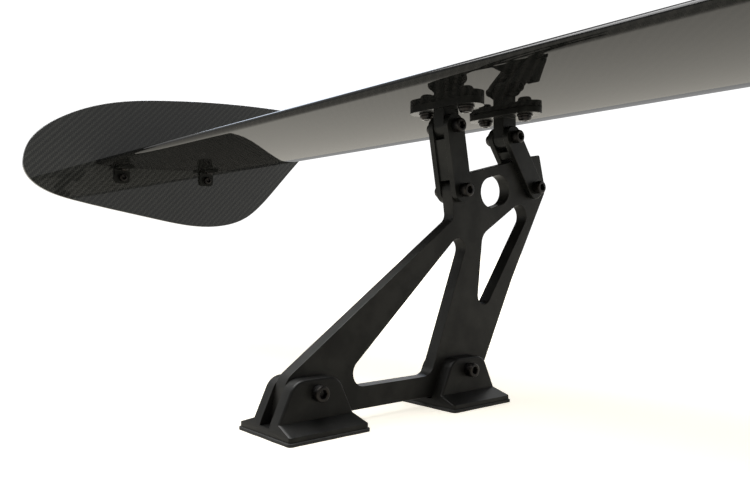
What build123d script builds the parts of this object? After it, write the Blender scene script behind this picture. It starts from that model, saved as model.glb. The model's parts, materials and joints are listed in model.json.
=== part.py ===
from build123d import *
import math
import os

# Racing rear wing on two plate uprights, millimetres.
# +X along the span, +Y rearward, +Z up. The origin is the centre of the foot
# fixing holes, on the underside of the feet; the gaskets lie below it.
# Left pieces are modelled, and right pieces are their mirror images.

# ---------------------------------------------------------------- driving sizes

# Stands
stand_spacing = 500.0     # between the mid planes of the two uprights
foot_pitch = 133.5        # front foot bolt to rear foot bolt
plate_t = 10.0            # upright plate, and the tongue of each wing bracket
side_gap = 0.3            # a tongue's clearance in its fork, each side
front_pivot = (66.4, 152.5)     # front link's lower bolt, (y, z)
rear_pivot = (151.1, 158.9)     # rear link's lower bolt, (y, z)
plate_bottom = 6.0        # lower edge of the upright
bar_height = 14.5         # crossbar between the feet
setting_step = 12.5       # second hole for the rear link's lower bolt
plate_top_front = 10.8    # plate's top edge above the front link's lower bolt
plate_top_rear = (10.5, 27.5)   # rear end of the top edge from the rear link's lower bolt
plate_outline_radii = [4.0, 14.0, 7.0, 1.0, 1.0, 2.0, 9.0, 150.0, 4.0]
front_window_radii = [9.0, 10.0, 7.5]
rear_window_radii = [7.2, 9.0, 12.0]
slot_place = (40.6, 1.5)  # from the front link's lower bolt
slot_size = (10.0, 23.0)  # between the end arcs' centres, and width
slot_tilt = 15.0

# Feet
foot_bolt_z = 23.0        # foot bolt above the underside of the foot
foot_w = 56.0             # along X
foot_l = 58.0             # along Y
foot_rim = 3.0            # upright edge of the base
base_top = 7.6            # where the sloping base meets the ears
slot_floor = 4.4          # floor between the ears
ear_t = 9.0               # each ear's thickness
ear_foot_l = 55.0         # ear's length where it leaves the base
ear_top_l = 32.0          # ear's length at its top, before rounding
ear_top_z = 31.8
ear_round = 11.0
ear_edge_round = 1.6
base_corner = 2.0
gasket_t = 2.0
gasket_margin = 1.0       # the gasket shows this much beyond the base
gasket_corner = 3.0
fixing_depth = 11.0       # threaded holes in the underside of the feet
fixing_r = 2.5            # M6 thread, drilled size

# Links
link_length = 46.5        # bolt to bolt
link_w = 17.5
link_side_t = 4.5         # each side plate
front_lean = 10.2         # degrees forward of vertical
rear_lean = 35.7          # degrees forward of vertical
tongue_r = 7.8            # end radius of a tongue inside a fork
fork_gap = 0.6            # tongue's end to the link's web
web_recess = 1.2          # web set back from the side plates' edges
swing = 4.0               # degrees each way that the front links swing
room_margin = 1.0         # room in the upright beside the front link

# Bolts (M6)
bolt_r = 3.0
pivot_gap = 0.05          # running clearance, radial
open_pivot_gap = 0.5      # at the upright's rear hole
loose_gap = 0.3           # clearance hole of a screw
thread_gap = 0.02         # between a bolt and its nut or thread
head_r = 5.0
head_h = 6.0
head_edge = 0.5
socket_af = 5.0
socket_depth = 3.2
nut_af = 10.0
nut_hex_h = 4.6
nut_collar_r = 4.3
nut_collar_h = 1.9
nut_collar_round = 1.1
bolt_in_collar = 1.5      # the bolt's end inside its nut's collar
face_gap = 0.1            # under a head or nut that a body turns against
washer_r = 6.0
washer_t = 1.4
button_r = 5.25
button_h = 3.3
button_round = 0.7        # of the head's height
button_socket_af = 4.0
button_socket_depth = 1.8

# Wing
overhang = 556.0          # stand's mid plane to the end plate's inner face
chord = 271.0
nose_half = 3.2           # half the thickness where the rounded nose ends
nose_l = 5.5              # length of the rounded nose
belly = 8.2               # half thickness added behind the nose, where it is greatest
camber = 0.8              # downwards
belly_place = 0.65        # of the chord, where the belly and the camber are greatest
incidence = 4.0           # degrees, trailing edge up
nose_from_pivot = (-58.5, 21.6)     # leading edge from the front upper bolt
trailing_t = 1.6
skin_t = 2.0
bond_gap = 0.15           # adhesive between the skin and what is inside it
cavity_end = 0.92         # of the chord, where the skins join ahead of the trailing edge
room_nose = 1.0           # half the height of the room inside, at its blunt front
spar_width = 36.0
spar_wall = 2.5
spar_clear = 3.0          # spar to the nearest hardpoint
spar_room_end = 0.7       # of the chord, behind the spar
rib_t = 20.0
hardpoint_size = (60.0, 22.0)
hardpoint_h = 9.0
section_points = 34

# Wing brackets
flange_size = (66.0, 22.0)
flange_t = 5.0
flange_screw_pitch = 39.5

# End plates
end_plate_t = 5.0
end_plate_round = 2.2
tab_places = (32.5, 151.0)     # y of each tab
tab_w = 20.0
tab_t = 3.0
tab_leg = 18.0            # along the span, under the wing
tab_drop = 21.0           # down the end plate, from the wing
tab_screw_drop = 13.5     # end plate screw below the wing's underside
tab_rib_screw = 11.0      # rib screw from the end plate
tab_bend = 2.4
tab_corner = 5.0
screw_back = 0.5          # end plate screw's end inside its insert
rib_screw_r = 2.5         # M5
rib_button_r = 4.75
rib_button_h = 2.7
rib_screw_depth = 7.0
insert_r = 4.5

# ---------------------------------------------------------------- derived places

stand_x = -stand_spacing / 2
tip_x = stand_x - overhang
fork_inner = plate_t / 2 + side_gap
link_half = fork_inner + link_side_t
ear_half = fork_inner + ear_t
fixing_offset = (fork_inner + ear_half) / 2     # threaded holes from the stand's mid plane
pivot_hole_r = bolt_r + pivot_gap
front_foot = (-foot_pitch / 2, foot_bolt_z)
rear_foot = (foot_pitch / 2, foot_bolt_z)
bar_top = plate_bottom + bar_height
web_start = tongue_r + fork_gap
room_swing = 1.2 * swing  # the upright leaves room for a little more than the swing


def ahead(place, dy, dz):
    """A (y, z) place moved by dy and dz."""
    return (place[0] + dy, place[1] + dz)


def leaning(place, degrees, distance):
    """A (y, z) place at a distance up a line that leans forward."""
    lean = math.radians(degrees)
    return ahead(place, -distance * math.sin(lean), distance * math.cos(lean))


front_upper = leaning(front_pivot, front_lean, link_length)
rear_upper = leaning(rear_pivot, rear_lean, link_length)
rear_setting = leaning(rear_pivot, rear_lean, setting_step)
nose = ahead(front_upper, *nose_from_pivot)


# ---------------------------------------------------------------- basic shapes

def side_plane(x):
    """Work plane at x that looks along +X, with local x along Y and local y up."""
    return Plane(origin=(x, 0, 0), x_dir=(0, 1, 0), z_dir=(1, 0, 0))


def outline(points, radii):
    """Closed face of straight edges with rounded corners."""
    return make_face(FilletPolyline(*points, radius=radii, close=True))


def slab(face, x_low, x_high):
    """A side view face given its thickness between two X values."""
    return extrude(side_plane(x_low) * face, x_high - x_low)


def cross_rod(place, radius, x_low, x_high):
    """Cylinder along X at a (y, z) place."""
    return slab(Pos(*place) * Circle(radius), x_low, x_high)


def upright_rod(x, y, radius, z_low, z_high):
    """Cylinder along Z."""
    return extrude(Pos(x, y, z_low) * Circle(radius), z_high - z_low)


def hexagon(across_flats):
    """Regular hexagon, flat sides up and down."""
    return RegularPolygon(across_flats / math.sqrt(3), 6)


def socket_bolt(place, x_seat, x_end):
    """Socket head bolt along X; its head stands on the +X side of x_seat."""
    head = cross_rod(place, head_r, x_seat, x_seat + head_h)
    head = chamfer(head.faces().sort_by(Axis.X)[-1].edges(), head_edge)
    head_end = x_seat + head_h
    socket = slab(Pos(*place) * hexagon(socket_af), head_end - socket_depth, head_end)
    return head + cross_rod(place, bolt_r, x_end, x_seat) - socket


def lock_nut(place, x_seat):
    """Nut with a locking collar, on the -X side of x_seat."""
    x_hex = x_seat - nut_hex_h
    body = slab(Pos(*place) * hexagon(nut_af), x_hex, x_seat)
    collar = cross_rod(place, nut_collar_r, x_hex - nut_collar_h, x_hex)
    collar = fillet(collar.faces().sort_by(Axis.X)[0].edges(), nut_collar_round)
    bore = cross_rod(place, bolt_r + thread_gap, x_hex - nut_collar_h, x_seat)
    return body + collar - bore


def button_screw(x, y, z_seat, z_end, shank_r, head_radius, head_height):
    """Button head screw pointing up; its head hangs below z_seat."""
    head = upright_rod(x, y, head_radius, z_seat - head_height, z_seat)
    head = fillet(head.faces().sort_by(Axis.Z)[0].edges(), head_height * button_round)
    socket_face = Pos(x, y, z_seat - head_height) * hexagon(button_socket_af)
    socket = extrude(socket_face, button_socket_depth)
    return head + upright_rod(x, y, shank_r, z_seat, z_end) - socket


# ---------------------------------------------------------------- aerofoil

def bulge(x):
    """Share of the belly at x along the chord, and its slope per chord."""
    p = belly_place
    if x < p:
        return (2 * p * x - x * x) / p**2, 2 * (p - x) / p**2
    return (1 - 2 * p + 2 * p * x - x * x) / (1 - p) ** 2, 2 * (p - x) / (1 - p) ** 2


def half_thickness(x):
    """Half the section's thickness at x along the chord."""
    ahead_of_end = max(1 - x * chord / nose_l, 0.0)
    nose_part = nose_half * math.sqrt(1 - ahead_of_end**2) * (1 - x * x)
    return nose_part + belly * bulge(x)[0] + trailing_t / 2 * x


def section_point(x, side, inset=0.0):
    """Place (y, z) on the section; side is +1 above and -1 below, inset is inwards."""
    share, slope = bulge(x)
    tilt = math.atan(-camber * slope / chord)
    reach = half_thickness(x) - inset
    along = x * chord - side * reach * math.sin(tilt)
    up = -camber * share + side * reach * math.cos(tilt)
    turn = math.radians(incidence)
    return ahead(
        nose,
        along * math.cos(turn) - up * math.sin(turn),
        along * math.sin(turn) + up * math.cos(turn),
    )


def stations(x_first, x_last):
    """Chord shares between two limits, closer together towards the nose."""
    steps = section_points
    start = math.acos(1 - x_first)
    end = math.acos(1 - x_last)
    return [1 - math.cos(start + (end - start) * i / steps) for i in range(steps + 1)]


def wing_face():
    """Outer section of the wing."""
    below = [section_point(x, -1) for x in reversed(stations(0.0, 1.0))]
    above = [section_point(x, +1) for x in stations(0.0, 1.0)]
    edge = Spline(*below, *above[1:])
    return make_face(edge + Line(above[-1], below[0]))


def room_start(inset):
    """Chord share where the room at an inset is as high as its blunt front."""
    return next(i / 1000 for i in range(1, 1000) if half_thickness(i / 1000) > inset + room_nose)


def hollow_face(inset, x_end=cavity_end):
    """Section of the room inside the wing, an inset below the outer surface."""
    xs = stations(room_start(inset), x_end)
    below = [section_point(x, -1, inset) for x in reversed(xs)]
    above = [section_point(x, +1, inset) for x in xs]
    front_x = xs[0] - room_nose / 2 / chord
    tip = section_point(front_x, 1, half_thickness(front_x))
    front = ThreePointArc(below[-1], tip, above[0])
    return make_face(Spline(*below) + front + Spline(*above) + Line(above[-1], below[0]))


def underside(y, inset=0.0):
    """Height of the wing's lower surface at y, or of its inner face with an inset."""
    points = [section_point(x, -1, inset) for x in stations(0.01, 1.0)]
    for (y0, z0), (y1, z1) in zip(points, points[1:]):
        if y0 <= y <= y1:
            return z0 + (z1 - z0) * (y - y0) / (y1 - y0)
    raise ValueError("y is off the wing")


wing_solid = slab(wing_face(), tip_x, -tip_x)
room_solid = slab(hollow_face(skin_t + bond_gap), tip_x, -tip_x)
pivot_pairs = {"front": (front_pivot, front_upper), "rear": (rear_pivot, rear_upper)}
nodes = {}


def both_sides(name, shape):
    """Keep a left piece and its mirror image as the right piece."""
    nodes["left_" + name] = shape
    nodes["right_" + name] = mirror(shape, Plane.YZ)


def group(name, shapes):
    """Keep identical left pieces and their mirror images in one node."""
    solids = [solid for shape in shapes for solid in shape.solids()]
    nodes[name] = Compound(children=solids + [mirror(solid, Plane.YZ) for solid in solids])


# ---------------------------------------------------------------- stands

def link_plane(x, lower, lean):
    """Work plane at x on a link: local y runs up the link, local x is rearward of it."""
    lean = math.radians(lean)
    return Plane(
        origin=(x, lower[0], lower[1]),
        x_dir=(0, math.cos(lean), math.sin(lean)),
        z_dir=(1, 0, 0),
    )


def plate_edge_height(across, lean):
    """Height up a link of the upright's top edge, at a distance behind the link's line."""
    edge_tilt = math.atan2(top_rear[1] - top_front[1], top_rear[0] - top_front[0])
    to_edge = (top_rear[0] - rear_pivot[0], top_rear[1] - rear_pivot[1])
    clear = to_edge[1] * math.cos(edge_tilt) - to_edge[0] * math.sin(edge_tilt)
    turn = math.radians(lean) - edge_tilt
    return clear / math.cos(turn) - across * math.tan(turn)


top_front = ahead(front_pivot, 0.0, plate_top_front)
top_rear = ahead(rear_pivot, *plate_top_rear)


def link_web(rear):
    """Web between a link's two forks, in the link's own plane."""
    half = link_w / 2 - web_recess
    top = link_length - web_start
    low = [web_start, web_start]
    if rear:
        room = rear_lean + swing * 1.3
        low = [plate_edge_height(across, room) + fork_gap for across in (-half, half)]
    return outline([(-half, low[0]), (half, low[1]), (half, top), (-half, top)], 0.0)


def link(lower, lean, rear):
    """H-shaped link: two side plates, a web, and a fork at each end."""
    blank = Pos(0, link_length / 2) * SlotCenterToCenter(link_length, link_w, rotation=90)
    x_low = stand_x - link_half
    body = extrude(link_plane(x_low, lower, lean) * blank, 2 * link_half)
    room = Pos(0, link_length / 2) * Rectangle(2 * link_w, link_length + 2 * link_w)
    room = room - link_web(rear)
    body -= extrude(link_plane(stand_x - fork_inner, lower, lean) * room, 2 * fork_inner)
    for place in (lower, leaning(lower, lean, link_length)):
        body -= cross_rod(place, pivot_hole_r, x_low, x_low + 2 * link_half)
    return body


def upright():
    """Flat plate with two windows and a slot, a tongue for the front link, and its holes."""
    blank = outline(
        [
            (front_foot[0] - 21.3, plate_bottom),
            ahead(front_foot, -16.8, 8.5),
            ahead(front_pivot, -4.9, -20.7),
            ahead(front_pivot, -tongue_r, 0.0),
            top_front,
            top_rear,
            ahead(rear_pivot, 18.4, -1.4),
            (rear_foot[0] + 60.2, 87.0),
            (rear_foot[0] + 17.3, plate_bottom),
        ],
        plate_outline_radii,
    )
    room_w = link_w + 2 * room_margin
    room_start = tongue_r + fork_gap / 2
    room = Pos(0, room_start + link_length / 2) * Rectangle(room_w, link_length)
    for turn in (-room_swing, 0.0, room_swing):
        blank -= Pos(*front_pivot) * Rot(0, 0, front_lean + turn) * room
    blank += Pos(*front_pivot) * Circle(tongue_r)
    front_window = outline(
        [
            (front_foot[0] + 20.0, bar_top),
            (rear_foot[0] - 28.9, bar_top),
            ahead(front_pivot, 18.1, -15.9),
        ],
        front_window_radii,
    )
    rear_window = outline(
        [ahead(rear_foot, 17.3, 25.6), ahead(rear_pivot, 16.9, 6.4), ahead(front_pivot, 25.9, -32.0)],
        rear_window_radii,
    )
    slot = Pos(*ahead(front_pivot, *slot_place)) * SlotCenterToCenter(*slot_size, rotation=slot_tilt)
    plate_side = blank - front_window - rear_window - slot
    plate = slab(plate_side, stand_x - plate_t / 2, stand_x + plate_t / 2)
    holes = {
        front_pivot: pivot_hole_r,
        rear_pivot: bolt_r + open_pivot_gap,
        rear_setting: bolt_r + open_pivot_gap,
        front_foot: bolt_r + thread_gap,
        rear_foot: bolt_r + thread_gap,
    }
    for place, radius in holes.items():
        plate -= cross_rod(place, radius, stand_x - plate_t, stand_x + plate_t)
    return plate


def foot(place):
    """Clevis foot: a base that slopes up to two ears, with threaded holes from below."""
    y = place[0]
    base = extrude(Pos(stand_x, y) * RectangleRounded(foot_w, foot_l, base_corner), foot_rim)
    slope = loft(
        [
            Pos(stand_x, y, foot_rim) * RectangleRounded(foot_w, foot_l, base_corner),
            Pos(stand_x, y, base_top) * RectangleRounded(2 * ear_half, ear_foot_l, base_corner),
        ]
    )
    ear = outline(
        [
            (y - ear_foot_l / 2, base_top),
            (y + ear_foot_l / 2, base_top),
            (y + ear_top_l / 2, ear_top_z),
            (y - ear_top_l / 2, ear_top_z),
        ],
        [0.0, 0.0, ear_round, ear_round],
    )
    block = slab(ear, stand_x - ear_half, stand_x + ear_half)
    rims = block.faces().filter_by(Axis.X).edges()
    rims = rims.filter_by_position(Axis.Z, base_top + 0.1, ear_top_z + 1)
    body = base + slope + fillet(rims, ear_edge_round)
    body -= Pos(stand_x, y, slot_floor) * Box(
        2 * fork_inner, 2 * foot_l, 2 * ear_top_z, align=(Align.CENTER, Align.CENTER, Align.MIN)
    )
    body -= cross_rod(place, pivot_hole_r, stand_x - foot_w, stand_x + foot_w)
    for side in (-1, 1):
        body -= upright_rod(stand_x + side * fixing_offset, y, fixing_r, 0.0, fixing_depth)
    return body


def gasket(place):
    """Rubber sheet under a foot, with holes for the fixing bolts."""
    sheet = RectangleRounded(foot_w + 2 * gasket_margin, foot_l + 2 * gasket_margin, gasket_corner)
    for side in (-1, 1):
        sheet -= Pos(side * fixing_offset, 0) * Circle(bolt_r + loose_gap)
    return extrude(Pos(stand_x, place[0], -gasket_t) * sheet, gasket_t)


def bolt_and_nut(place, half_width):
    """Bolt with its head inboard and its lock nut outboard, over a stack of this half width."""
    reach = half_width + face_gap + nut_hex_h + bolt_in_collar
    bolt = socket_bolt(place, stand_x + half_width + face_gap, stand_x - reach)
    return bolt, lock_nut(place, stand_x - half_width - face_gap)


both_sides("upright", upright())
both_sides("front_link", link(front_pivot, front_lean, rear=False))
both_sides("rear_link", link(rear_pivot, rear_lean, rear=True))
for end, place in (("front", front_foot), ("rear", rear_foot)):
    both_sides(end + "_foot", foot(place))
    both_sides(end + "_gasket", gasket(place))

foot_hardware = [bolt_and_nut(place, ear_half) for place in (front_foot, rear_foot)]
group("foot_bolts", [bolt for bolt, nut in foot_hardware])
group("foot_nuts", [nut for bolt, nut in foot_hardware])
for end, levels in pivot_pairs.items():
    for level, place in zip(("lower", "upper"), levels):
        bolt, nut = bolt_and_nut(place, link_half)
        group(f"{end}_{level}_bolts", [bolt])
        group(f"{end}_{level}_nuts", [nut])


# ---------------------------------------------------------------- wing brackets

screw_xs = [stand_x - flange_screw_pitch / 2, stand_x + flange_screw_pitch / 2]


def flange_bottom(place):
    """Underside of a bracket's flange."""
    return underside(place[0]) - flange_t


def wing_bracket(place):
    """T-shaped bracket: a flange that fits the wing, and a tongue down to the link."""
    y = place[0]
    bottom = flange_bottom(place)
    pad = SlotCenterToCenter(flange_size[0] - flange_size[1], flange_size[1])
    flange = extrude(Pos(stand_x, y, bottom) * pad, 2 * flange_t) - wing_solid
    tongue = Pos(*place) * Circle(tongue_r)
    tongue += Pos(y, (place[1] + bottom) / 2 + 0.5) * Rectangle(2 * tongue_r, bottom - place[1] + 1.0)
    body = flange + slab(tongue, stand_x - plate_t / 2, stand_x + plate_t / 2)
    body -= cross_rod(place, pivot_hole_r, stand_x - plate_t, stand_x + plate_t)
    for x in screw_xs:
        body -= upright_rod(x, y, bolt_r + loose_gap, bottom - 1.0, bottom + 2 * flange_t)
    return body


def hardpoint(place):
    """Block inside the wing that a bracket's screws thread into."""
    y = place[0]
    low = underside(y, skin_t)
    block = Pos(stand_x, y, low) * Box(
        *hardpoint_size, 2 * hardpoint_h, align=(Align.CENTER, Align.CENTER, Align.CENTER)
    )
    block = block & room_solid
    for x in screw_xs:
        block -= upright_rod(x, y, bolt_r + thread_gap, low - 5.0, low + 2 * hardpoint_h)
    return block


skin = wing_solid - slab(hollow_face(skin_t), tip_x, -tip_x)
bracket_screws = []
bracket_washers = []
for end, (lower, upper) in pivot_pairs.items():
    both_sides(end + "_wing_bracket", wing_bracket(upper))
    both_sides(end + "_hardpoint", hardpoint(upper))
    seat = flange_bottom(upper)
    washer_seat = seat - washer_t
    screw_end = underside(upper[0], skin_t) + hardpoint_h - 1.0
    for x in screw_xs:
        washer = upright_rod(x, upper[0], washer_r, washer_seat, seat)
        washer -= upright_rod(x, upper[0], bolt_r + loose_gap, washer_seat, seat)
        screw = button_screw(x, upper[0], washer_seat, screw_end, bolt_r, button_r, button_h)
        bracket_washers.append(washer)
        bracket_screws.append(screw)
        for mirror_x in (x, -x):
            skin -= upright_rod(mirror_x, upper[0], bolt_r + loose_gap, seat, screw_end)
group("bracket_screws", bracket_screws)
group("bracket_washers", bracket_washers)


# ---------------------------------------------------------------- end plates

def end_plate_face():
    """Side view of an end plate, round at the nose and cut away at the lower rear."""
    y, z = nose
    rim = [
        (y - 85.0, z - 5.8), (y - 76.4, z + 22.2), (y - 40.4, z + 53.4), (y + 17.6, z + 77.0),
        (y + 96.6, z + 90.3), (y + 189.6, z + 97.6), (y + 273.6, z + 99.5), (y + 321.6, z + 99.5),
        (y + 345.6, z + 97.6), (y + 357.1, z + 90.2), (y + 357.6, z + 78.2), (y + 346.6, z + 64.7),
        (y + 321.6, z + 38.7), (y + 287.6, z + 3.2), (y + 245.6, z - 41.0), (y + 213.6, z - 65.6),
        (y + 179.6, z - 76.4), (y + 137.6, z - 78.3), (y + 74.6, z - 69.0), (y - 23.4, z - 49.8),
        (y - 60.9, z - 37.8), (y - 78.9, z - 23.8),
    ]
    return make_face(Spline(*rim, periodic=True))


def end_tab(y):
    """Angle tab: one leg under the wing, the other down the end plate."""
    top = underside(y)
    profile = Polyline(
        (tip_x, top + 6.0),
        (tip_x, top - tab_drop),
        (tip_x + tab_t, top - tab_drop),
        (tip_x + tab_t, top - tab_t),
        (tip_x + tab_leg, top - tab_t),
        (tip_x + tab_leg, top + 6.0),
        close=True,
    )
    face = Plane(origin=(0, y - tab_w / 2, 0), x_dir=(1, 0, 0), z_dir=(0, -1, 0)) * make_face(profile)
    body = extrude(face, -tab_w) - wing_solid
    leg_x = tip_x + tab_t
    corner = body.edges().filter_by(Axis.Y).filter_by_position(Axis.X, leg_x - 0.1, leg_x + 0.1)
    body = fillet(corner.sort_by(Axis.Z)[-1], tab_bend)
    low = top - tab_drop
    ends = body.edges().filter_by(Axis.X).filter_by_position(Axis.Z, low - 0.1, low + 0.1)
    body = fillet(ends, tab_corner)
    body -= cross_rod((y, top - tab_screw_drop), bolt_r + loose_gap, tip_x - 1, tip_x + tab_leg)
    body -= upright_rod(tip_x + tab_rib_screw, y, rib_screw_r + loose_gap, top - 2 * tab_t, top + 6.0)
    return body


plate_low = tip_x - end_plate_t
end_plate = slab(end_plate_face(), plate_low, tip_x)
end_plate = fillet(end_plate.faces().filter_by(Axis.X).edges(), end_plate_round)
end_rib = slab(hollow_face(skin_t + bond_gap), tip_x, tip_x + rib_t)
inserts = []
plate_screws = []
rib_screws = []
for end, y in zip(("front", "rear"), tab_places):
    both_sides(end + "_end_tab", end_tab(y))
    top = underside(y)
    screw_place = (y, top - tab_screw_drop)
    insert = cross_rod(screw_place, insert_r, plate_low, tip_x)
    inserts.append(insert - cross_rod(screw_place, bolt_r + thread_gap, plate_low - 1, tip_x + 1))
    end_plate -= cross_rod(screw_place, insert_r, plate_low - 1, tip_x + 1)
    plate_screws.append(socket_bolt(screw_place, tip_x + tab_t, plate_low + screw_back))
    rib_x = tip_x + tab_rib_screw
    rib_seat = top - tab_t
    rib_screws.append(
        button_screw(rib_x, y, rib_seat, top + rib_screw_depth, rib_screw_r, rib_button_r, rib_button_h)
    )
    end_rib -= upright_rod(rib_x, y, rib_screw_r + thread_gap, rib_seat, top + rib_screw_depth + 1)
    for x in (rib_x, -rib_x):
        skin -= upright_rod(x, y, rib_screw_r + loose_gap, rib_seat, top + skin_t + 2)

both_sides("end_plate", end_plate)
both_sides("end_rib", end_rib)
group("end_plate_inserts", inserts)
group("end_plate_screws", plate_screws)
group("end_rib_screws", rib_screws)
nodes["wing_skin"] = skin

# Box spar between the front and rear hardpoints, over the whole span
spar_front = front_upper[0] + hardpoint_size[1] / 2 + spar_clear
spar_rear = spar_front + spar_width
wing_depth = 2 * (nose_half + belly)
spar_span = -2 * (tip_x + rib_t + 1.0)


def spar_box(inset):
    """Block that fills the wing's room over the spar's width, less an inset."""
    face = hollow_face(skin_t + bond_gap + inset, spar_room_end)
    room = slab(face, -spar_span / 2, spar_span / 2)
    width = spar_width - 2 * inset
    middle = (spar_front + spar_rear) / 2
    return room & (Pos(0, middle, nose[1]) * Box(spar_span, width, 4 * wing_depth))


nodes["main_spar"] = spar_box(0.0) - spar_box(spar_wall)

# ---------------------------------------------------------------- files

os.makedirs("parts", exist_ok=True)
for name, shape in nodes.items():
    export_step(shape, f"parts/{name}.step")
print(len(nodes), "nodes")
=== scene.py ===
"""Looks of the racing rear wing: carbon, anodised plate, black oxide fasteners and rubber.

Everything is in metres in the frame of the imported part: +X along the span, +Y rearward, +Z up.
Pieces take their places from the frame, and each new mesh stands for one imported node.
"""

import json
import logging
import math
from dataclasses import dataclass
from enum import Enum
from typing import Any, Iterable, Sequence

import bmesh
import bpy
from mathutils import Matrix, Vector, noise

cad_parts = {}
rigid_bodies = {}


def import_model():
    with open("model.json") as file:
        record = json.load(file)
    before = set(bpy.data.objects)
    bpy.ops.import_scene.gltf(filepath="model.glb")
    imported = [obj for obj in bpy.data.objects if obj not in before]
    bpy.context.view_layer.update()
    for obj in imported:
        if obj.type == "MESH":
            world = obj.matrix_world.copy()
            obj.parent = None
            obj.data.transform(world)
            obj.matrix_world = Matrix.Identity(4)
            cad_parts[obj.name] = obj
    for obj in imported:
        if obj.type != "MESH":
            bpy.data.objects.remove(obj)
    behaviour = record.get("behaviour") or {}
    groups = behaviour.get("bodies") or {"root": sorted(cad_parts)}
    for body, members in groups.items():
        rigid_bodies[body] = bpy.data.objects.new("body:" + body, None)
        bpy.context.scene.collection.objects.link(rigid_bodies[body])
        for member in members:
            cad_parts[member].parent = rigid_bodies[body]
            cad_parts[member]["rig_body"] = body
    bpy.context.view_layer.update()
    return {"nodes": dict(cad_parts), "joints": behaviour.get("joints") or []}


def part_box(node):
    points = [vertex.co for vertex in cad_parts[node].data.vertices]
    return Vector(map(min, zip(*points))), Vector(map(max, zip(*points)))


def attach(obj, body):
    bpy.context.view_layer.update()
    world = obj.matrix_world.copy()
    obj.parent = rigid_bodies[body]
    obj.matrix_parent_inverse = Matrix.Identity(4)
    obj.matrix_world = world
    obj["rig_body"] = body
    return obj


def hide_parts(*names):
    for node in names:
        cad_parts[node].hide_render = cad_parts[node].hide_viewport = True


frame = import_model()
MM = 0.001
SIDES = ("left", "right")
ENDS = ("front", "rear")
log = logging.getLogger("rear_wing")


# ------------------------------------------------------------------ shader helpers


def linear(colour: str) -> tuple[float, float, float, float]:
    """Turn an sRGB hex colour into the linear colour that shaders work in.

    Args:
        colour: Six hex digits after a hash sign.

    Returns:
        Red, green, blue and alpha from 0 to 1.
    """
    shares = [int(colour[i : i + 2], 16) / 255 for i in (1, 3, 5)]
    red, green, blue = [s / 12.92 if s <= 0.04045 else ((s + 0.055) / 1.055) ** 2.4 for s in shares]
    return (red, green, blue, 1.0)


def add_node(
    tree: bpy.types.NodeTree,
    kind: str,
    settings: dict[Any, Any] | None = None,
    links: dict[Any, bpy.types.NodeSocket] | None = None,
) -> bpy.types.Node:
    """Add a shader node with its settings and links.

    Args:
        tree: Node tree that gets the node.
        kind: The node's type, without its "ShaderNode" start.
        settings: Values by property name, input name or input number.
        links: Output sockets by input name or input number.

    Returns:
        The new node.
    """
    node = tree.nodes.new("ShaderNode" + kind)
    for key, value in (settings or {}).items():
        if isinstance(key, str) and hasattr(node, key):
            setattr(node, key, value)
        else:
            node.inputs[key].default_value = value
    for key, socket in (links or {}).items():
        tree.links.new(socket, node.inputs[key])
    return node


def arithmetic(
    tree: bpy.types.NodeTree, operation: str, *terms: float | bpy.types.NodeSocket
) -> bpy.types.NodeSocket:
    """Work out one step of a pattern.

    Args:
        tree: Node tree that holds the pattern.
        operation: Name of the operation.
        terms: Numbers or sockets, in the operation's order.

    Returns:
        The socket that holds the result.
    """
    numbers = {i: t for i, t in enumerate(terms) if isinstance(t, (int, float))}
    sockets = {i: t for i, t in enumerate(terms) if not isinstance(t, (int, float))}
    return add_node(tree, "Math", {"operation": operation, **numbers}, sockets).outputs[0]


def blend_colours(
    tree: bpy.types.NodeTree,
    share: bpy.types.NodeSocket,
    low: str | bpy.types.NodeSocket,
    high: str | bpy.types.NodeSocket,
) -> bpy.types.NodeSocket:
    """Blend from one colour to another by a share from 0 to 1.

    Args:
        tree: Node tree that holds the colours.
        share: Socket with the share of the second colour.
        low: First colour, as hex or as a socket.
        high: Second colour, as hex or as a socket.

    Returns:
        The socket that holds the blended colour.
    """
    colours = {6: low, 7: high}
    fixed = {key: linear(value) for key, value in colours.items() if isinstance(value, str)}
    linked = {key: value for key, value in colours.items() if not isinstance(value, str)}
    return add_node(
        tree, "Mix", {"data_type": "RGBA", "clamp_factor": True, **fixed}, {0: share, **linked}
    ).outputs[2]


# ------------------------------------------------------------------ finishes


@dataclass(frozen=True)
class Finish:
    """A surface finish, which builds one material and keeps it for the pieces that share it."""

    name: str

    def material(self) -> bpy.types.Material:
        """Give the material of this finish, building it the first time.

        Returns:
            The material.
        """
        found = bpy.data.materials.get(self.name)
        if found is None:
            found = bpy.data.materials.new(self.name)
            found.use_nodes = True
            found.node_tree.nodes.clear()
            shader = self.surface(found.node_tree)
            add_node(found.node_tree, "OutputMaterial", links={"Surface": shader.outputs[0]})
        return found

    def surface(self, tree: bpy.types.NodeTree) -> bpy.types.Node:
        """Add the nodes of the surface and return the shader."""
        raise NotImplementedError


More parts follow.
